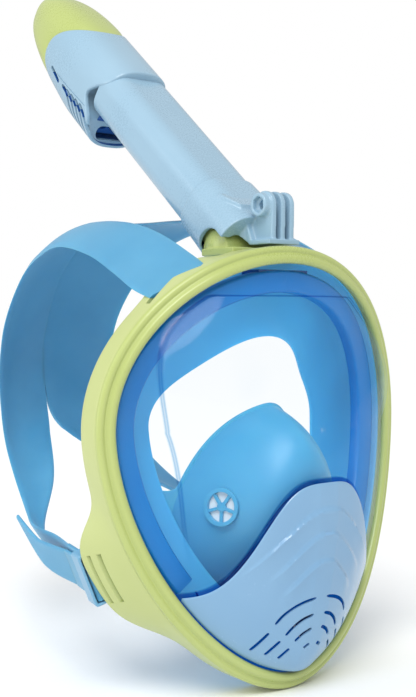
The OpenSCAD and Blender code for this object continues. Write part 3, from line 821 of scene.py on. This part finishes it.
# Louvres and grooves of one side, as points (angle round the head, height up the tube)
LOUVRES = [[(14 - i, 157 - 6.5 * i), (17, 148.5 - 6.5 * i), (34, 142 - 6.5 * i), (50, 137 - 6.2 * i)]
           for i in range(5)]
LOUVRES.append([(11.5, 176), (13.5, 169), (17, 162)])
GROOVES = [[(10, 167), (8, 146), (6, 124)]]
LOUVRE_W, GROOVE_W = 2.9, 0.7
SPINE_HALF_W, SPINE_FOOT, SPINE_TOP = 9.0, 138.0, 176.0
TUBE_HOLE, MOUTH = (44.3, 32.3, 12.1), (25, 9, 4)  # width, height and corner radius
MOUTH_BETA = 28
FLOOR_T = 2


def rounded_outline(w, h, radius):
    """Closed outline of a rounded rectangle, as the CAD's."""
    corners = np.array([(w / 2, h / 2), (-w / 2, h / 2), (-w / 2, -h / 2), (w / 2, -h / 2)])
    angles = np.radians(np.arange(0, 91, 10))
    made = []
    for k, corner in enumerate(corners):
        centre = corner - np.sign(corner) * radius
        a = angles + math.radians(90 * k)
        made.append(centre + radius * np.stack([np.cos(a), np.sin(a)], axis=-1))
    return np.concatenate(made)


def head_floor():
    """Floor that closes the head's underside round the tube, with a mouth for air."""
    beta = np.linspace(-14, 35, 80)[:, None]
    half = np.interp(beta, *lobe_half_width())
    x = np.linspace(-1, 1, 41)[None, :] * (half - 0.6)
    dip = 1.2 + 1.2 * (1 - (x / half) ** 4) * smooth((beta - 2) / 8)
    low = on_tube(x, beta, foot(beta) + dip)
    high = on_tube(x, beta, foot(beta) + dip + FLOOR_T)
    obj = plate("head_floor", low, high)
    outline = rounded_outline(*TUBE_HOLE)
    cut(obj, skin("tube_hole", [on_tube(outline[:, 0], outline[:, 1], alpha) for alpha in (90, 121)]))
    mouth = rounded_outline(*MOUTH)
    cut(obj, skin("mouth", [on_tube(mouth[:, 0], mouth[:, 1] + MOUTH_BETA, alpha) for alpha in (90, 150)]))
    return obj


def lobe_half_width():
    """Distances below the axis, and the half width inside the head's wall there."""
    q = np.linspace(-60, 89.5, 150)
    x, beta = head_section(q, np.full(150, 125.0))
    return beta, x - HEAD_WALL


def head_housing():
    q = head_angles()[None, :]
    top, low = height_on(q, parting) - 0.15, height_on(q, foot)
    rim = np.array([0.0, 0.002, 0.006, 0.014, 0.03])[:, None]
    body = np.linspace(0.06, 0.94, 60)[:, None]
    v = np.concatenate([rim, body, 1 - rim[::-1]])
    inset = np.concatenate([[1.3, 0.75, 0.3, 0.06, 0], np.zeros(60), [0, 0.02, 0.1, 0.3, 0.7]])[:, None]
    outer = head_surface(q, low + v * (top - low), inset)
    inner_v = np.linspace(1, 0, 24)[:, None]
    alpha = low + inner_v * (top - low)
    beta = head_section(q, alpha)[1]
    wall = HEAD_WALL + 2.6 * smooth((-2 - beta) / 8) * smooth((126 - alpha) / 8)
    inner = head_surface(q, alpha, wall)
    obj = skin("housing", np.concatenate([outer, inner]), closed=True, sharp=50)
    cut(obj, slots("louvres", head_surface, both_sides(LOUVRES, 180), LOUVRE_W, 3, 5), sharp=50)
    cut(obj, slots("grooves", head_surface, both_sides(GROOVES, 180), GROOVE_W, 1, 0.4), sharp=50)
    spine = np.array([(-1, 30), (1, 30), (1, 42), (-1, 42)], float) * [SPINE_HALF_W, 1]
    notch = skin("spine", [on_tube(spine[:, 0], spine[:, 1], alpha) for alpha in (SPINE_FOOT, 200)])
    cut(obj, notch, sharp=50)
    # Painted shade on the faces inside the head
    paint_inside_shade(obj)
    floor_part = head_floor()
    floor_part.data.materials.append(light_blue)
    obj = join("snorkel_head", [obj, floor_part])
    return finish_piece(obj, "snorkel", ["head_housing"])


def paint_inside_shade(obj):
    """Painted shade: gives the faces that look towards the middle of the head the navy plastic, for the
    shade inside the head.
    """
    obj.data.materials.append(light_blue)
    obj.data.materials.append(navy_and_painted_shade)
    centre = on_tube(0, HEAD_MIDDLE, HEAD_BODY) * MM
    for face in obj.data.polygons:
        away = np.array(face.center) - centre
        away -= TUBE_UP * (away @ TUBE_UP)
        face.material_index = 1 if np.array(face.normal) @ away < -0.25 * np.linalg.norm(away) else 0


def head_cap():
    q = head_angles()[None, :]
    low = height_on(q, parting) + 0.15
    v = 1 - (1 - np.linspace(0, 1, 46)[:, None]) ** 2
    inset = np.concatenate([[0.7, 0.3, 0.1, 0.02], np.zeros(42)])[:, None]
    outer = head_surface(q, low + v * (HEAD_TIP - low), inset)
    inner_v = np.linspace(1, 0, 26)[:, None]
    inner = head_surface(q, low + inner_v * (HEAD_TIP - HEAD_WALL - low), HEAD_WALL)
    shell = skin("cap_shell", np.concatenate([outer, inner]), closed=True, sharp=50)
    obj = join("snorkel_cap", [shell, cap_spine()])
    return finish_piece(obj, "snorkel", ["head_cap"], [green])


def cap_spine():
    """Strip of the cap that runs down the middle of the underside, between the louvres."""
    q = 90 + np.linspace(-1, 1, 25)[None, :] * 15
    alpha = np.linspace(SPINE_FOOT + 0.2, SPINE_TOP, 40)[:, None]
    made = []
    for wall in (0.0, HEAD_WALL):
        x, beta = head_section(q + 0 * alpha, alpha + 0 * q, wall)
        made.append(on_tube(np.clip(x, 0.15 - SPINE_HALF_W, SPINE_HALF_W - 0.15), beta, alpha + 0 * q))
    return plate("spine", *made, sharp=50)


def moulded(node, name, voxel, rounds, body, material):
    """Copy of a CAD node whose edges and inner corners are rounded, as a moulding's are."""
    mesh = nodes[node].data.copy()
    mesh.materials.clear()
    obj = bpy.data.objects.new(name, mesh)
    bpy.context.scene.collection.objects.link(obj)
    remesh = obj.modifiers.new("voxels", "REMESH")
    remesh.mode, remesh.voxel_size, remesh.use_smooth_shade = "VOXEL", voxel * MM, True
    even = obj.modifiers.new("even", "SMOOTH")
    even.factor, even.iterations = 0.5, rounds
    apply_modifiers(obj)
    shade(obj.data, 80)
    return finish_piece(obj, body, [node], [material])


# ---- Strap ----

LEFT_LOW_EDGE = [(-73, -8, 66), (-74, 6, 71), (-70, 29, 80), (-66, 60, 91), (-59, 102, 98),
                 (-52, 137, 95), (-47, 170, 83), (-44, 198, 56), (-43, 208, 30), (-44, 206, 2),
                 (-50, 187, -26), (-60, 150, -53), (-70, 118, -63), (-76, 80, -64),
                 strip_at(STRIP_LEN, STRAP_END_H / 2)]
LEFT_TOP_EDGE = [(-46, -22, 81), (-47, -10, 88), (-47, 19, 101), (-44, 52, 109), (-37, 88, 112),
                 (-25, 128, 113), (0, 170, 110), (0, 204, 85), (0, 226, 45), (0, 226, 12),
                 (-5, 211, -17), (-30, 163, -43), (-62, 118, -68), (-69, 80, -86),
                 strip_at(STRIP_LEN, -STRAP_END_H / 2)]
RIGHT_LOW_EDGE = [(73, -8, 66), (74, 6, 74), (71, 29, 87), (66, 60, 102), (57, 98, 112),
                  (51, 135, 108), (47, 170, 90), (44, 198, 60), (43, 208, 30), (44, 206, 2),
                  (50, 187, -26), (60, 150, -53), (70, 118, -63), (76, 80, -64),
                  mirrored(strip_at(STRIP_LEN, STRAP_END_H / 2))]


def right_top_edge():
    """The left one mirrored, and a little higher over the head."""
    p = mirrored(LEFT_TOP_EDGE)
    p[:, 2] += 4 * smooth((p[:, 1] - 10) / 40) * smooth((p[:, 2] - 60) / 40)
    return p


def band(name, edge_a, edge_b, thickness, crown, per_segment=10, side=1):
    """Strap between two edges: crowned, round-edged, and level where it crosses the middle."""
    a, b = curve(edge_a, per_segment), curve(edge_b, per_segment)
    along = np.gradient(a + b, axis=0)
    out = unit(np.cross(along, b - a)) * side
    share = np.linspace(0, 1, len(a))[:, None]
    middle = (a + b) / 2 + 2 * crown * np.sin(np.pi * share) * out
    top = b if abs(b[len(b) // 2, 0]) < 1 else a
    at_seam = smooth(1 - np.abs(top[:, :1]) / 12)
    centre = 0.5 * (a + b)
    level = np.stack([centre[:, 0], np.maximum(a[:, 1], b[:, 1]) - 0.5, centre[:, 2]], axis=-1)
    middle = middle + at_seam * (level - middle) * [0.0, 1.0, 0.0]
    u = np.linspace(0, 1, 15)[None, :, None]
    inner = (1 - u) ** 2 * a[:, None] + 2 * u * (1 - u) * middle[:, None] + u**2 * b[:, None]
    normal = unit(np.cross(np.gradient(inner, axis=0), np.gradient(inner, axis=1))) * side
    edge = np.minimum(u, 1 - u) * np.linalg.norm(b - a, axis=-1)[:, None, None]
    thin = 0.45 * rounded_edge(edge, 1.4)
    open_edge = 1 - at_seam[:, None] * (np.abs(inner[..., :1]) < 6)
    thin = thin * open_edge
    low, high = inner + normal * thickness * thin, inner + normal * thickness * (1 - thin)
    return plate(name, low, high, sharp=60)


def head_strap():
    pieces = [band("strap_left", LEFT_TOP_EDGE, LEFT_LOW_EDGE, STRAP_T, 3),
              band("strap_right", RIGHT_LOW_EDGE, right_top_edge(), STRAP_T, 3)]
    gap, end = STRAP_T + 0.4, STRIP_LEN + 0.6
    for turn, side in ((np.array, 1), (mirrored, -1)):
        pieces.append(flat_strip("strip", turn, 0, STRAP_T, STRAP_END_H / 2, FOLD_AT, end))
        pieces.append(flat_strip("tail", turn, gap, TAIL_T, STRAP_END_H / 2 - 1, FOLD_AT, end, -1))
        pieces.append(fold("fold", turn, gap + TAIL_T))
        low = [turn(p) for p in (strip_at(STRIP_LEN, STRAP_END_H / 2 - 2, gap),
                                 (-84, 75, -67), (-82, 92, -66), (-81, 115, -57))]
        high = [turn(p) for p in (strip_at(STRIP_LEN, -STRAP_END_H / 2, gap),
                                  (-79.5, 78, -84), (-80, 93, -77), (-80, 116, -60))]
        pieces.append(band("loose", low, high, TAIL_T, 0, 8, side))
    obj = join("head_harness", pieces)
    return finish_piece(obj, "mask", ["head_strap"], [strap_silicone])


def flat_strip(name, turn, out, thickness, half_h, start, end, shift=0.0):
    """Straight stretch of strap beside the lug, with round edges."""
    low, high = shift - half_h, shift + half_h
    corners = [(low, out), (high, out), (high, out + thickness), (low, out + thickness)]
    section = soften(np.array([corners], float), [0.9] * 4)[0]
    l = np.linspace(start, end, 12)
    rings = [[turn(strip_at(along, h, o)) for h, o in section] for along in l]
    return skin(name, rings, sharp=60)


def fold(name, turn, depth):
    """Half round turn that joins the strap's end to its tail, at the back edge of the frame."""
    rings = []
    for h in np.linspace(-STRAP_END_H / 2, STRAP_END_H / 2 - 2, 6):
        a = np.radians(np.linspace(90, 270, 15))
        outer = [(FOLD_AT + depth / 2 * math.cos(q), depth / 2 + depth / 2 * math.sin(q)) for q in a]
        inner = [(FOLD_AT + 0.3 * math.cos(q), depth / 2 + 0.3 * math.sin(q)) for q in a[::-1]]
        rings.append([turn(strip_at(l, h, o)) for l, o in outer + inner])
    return skin(name, rings, sharp=60)


# ---- Camera, light and floor ----

CAMERA_AT = (-0.402157, -0.479612, 0.055562)  # metres
AZIMUTH, ELEVATION, ROLL = -37.785, 1.399, -0.198
FOCAL_LENGTH = 59.24


def camera():
    """Camera at the reference view, in front and towards -X, looking very slightly down."""
    azimuth, elevation, roll = (math.radians(v) for v in (AZIMUTH, ELEVATION, ROLL))
    back = Vector((math.sin(azimuth) * math.cos(elevation), -math.cos(azimuth) * math.cos(elevation),
                   math.sin(elevation)))
    level = Vector((math.cos(azimuth), math.sin(azimuth), 0))
    up = back.cross(level)
    right = level * math.cos(roll) + up * math.sin(roll)
    top = up * math.cos(roll) - level * math.sin(roll)
    data = bpy.data.cameras.new("camera")
    data.lens, data.sensor_width = FOCAL_LENGTH, 36
    data.clip_start, data.clip_end = 0.02, 50
    obj = bpy.data.objects.new("camera", data)
    turned = Matrix((right, top, back)).transposed().to_4x4()
    obj.matrix_world = Matrix.Translation(CAMERA_AT) @ turned
    bpy.context.scene.collection.objects.link(obj)
    bpy.context.scene.camera = obj


def area_light(name, place, size, watts):
    """Rectangular light turned towards the middle of the mask."""
    data = bpy.data.lights.new(name, "AREA")
    data.shape, data.size, data.size_y = "RECTANGLE", size[0], size[1]
    data.energy = watts
    obj = bpy.data.objects.new(name, data)
    target = Vector((0, 0.05, 0.02))
    obj.location = place
    obj.rotation_euler = (target - Vector(place)).to_track_quat("-Z", "Y").to_euler()
    bpy.context.scene.collection.objects.link(obj)


def studio():
    """White surroundings, a wide soft sun and two area lights."""
    world = bpy.data.worlds.new("studio")
    world.use_nodes = True
    tree = world.node_tree
    path = tree.nodes.new("ShaderNodeLightPath")
    strength = tree.nodes.new("ShaderNodeMapRange")
    strength.inputs["To Min"].default_value = 0.6
    strength.inputs["To Max"].default_value = 1.0
    tree.links.new(path.outputs["Is Camera Ray"], strength.inputs["Value"])
    background = tree.nodes["Background"]
    background.inputs["Color"].default_value = (1.0, 1.0, 1.0, 1)
    tree.links.new(strength.outputs["Result"], background.inputs["Strength"])
    bpy.context.scene.world = world
    bpy.context.scene.view_settings.view_transform = "Standard"
    sun = bpy.data.lights.new("sun", "SUN")
    sun.energy, sun.angle = 1.72, math.radians(35)
    lamp = bpy.data.objects.new("sun", sun)
    lamp.rotation_euler = Vector((0.55, 0.5, -1.0)).to_track_quat("-Z", "Y").to_euler()
    bpy.context.scene.collection.objects.link(lamp)
    area_light("key", (-1.3, -0.9, 1.1), (0.7, 1.2), 5)
    area_light("side", (-1.2, 0.5, 0.4), (0.5, 1.0), 3)


def floor():
    """Pale level floor, wide enough that its edge lies on the horizon from every side."""
    level, far = cad_box[0].z / MM - 0.3, 60000.0
    points = [(-far, -far, level), (far, -far, level), (far, far, level), (-far, far, level)]
    obj = mesh_object("floor", points, [(0, 1, 2, 3)])
    n = Nodes("floor_paper")
    grain = n.noise(300.0, 3.0)
    paper = n.mix(grain, linear(252, 252, 252), linear(249, 250, 250))
    shader = n.add("ShaderNodeBsdfDiffuse", {"Color": paper})
    obj.data.materials.append(n.surface(shader))


# ---- The object ----

camera()
studio()
floor()

lens()
bezel()
rear_frame()
skirt()
nose_cup()
air_channel("air_channel_right", np.array)
air_channel("air_channel_left", mirrored)
chin_cover()
head_housing()
head_cap()
head_strap()
moulded("collar", "snorkel_collar", 0.5, 6, "snorkel", light_blue)
moulded("snorkel_socket", "snorkel_neck", 0.5, 6, "mask", green)
for hand in ("left", "right"):
    moulded(f"strap_keeper_{hand}", f"keeper_{hand}", 0.4, 5, f"keeper_{hand}",
            keeper_blue)

CAD_MATERIALS = {
    "tube": light_blue, "socket_seal": seal_rubber, "float_cage": navy_and_painted_shade, "float": seal_rubber,
    "float_pad": seal_rubber, "top_duct": navy_and_painted_shade, "drain_seat": valve_white, "drain_disc": seal_rubber,
    "inhale_seat_left": cup_silicone, "inhale_seat_right": cup_silicone,
    "inhale_disc_left": valve_white, "inhale_disc_right": valve_white,
}
for node, material in CAD_MATERIALS.items():
    nodes[node].data.materials.clear()
    nodes[node].data.materials.append(material)
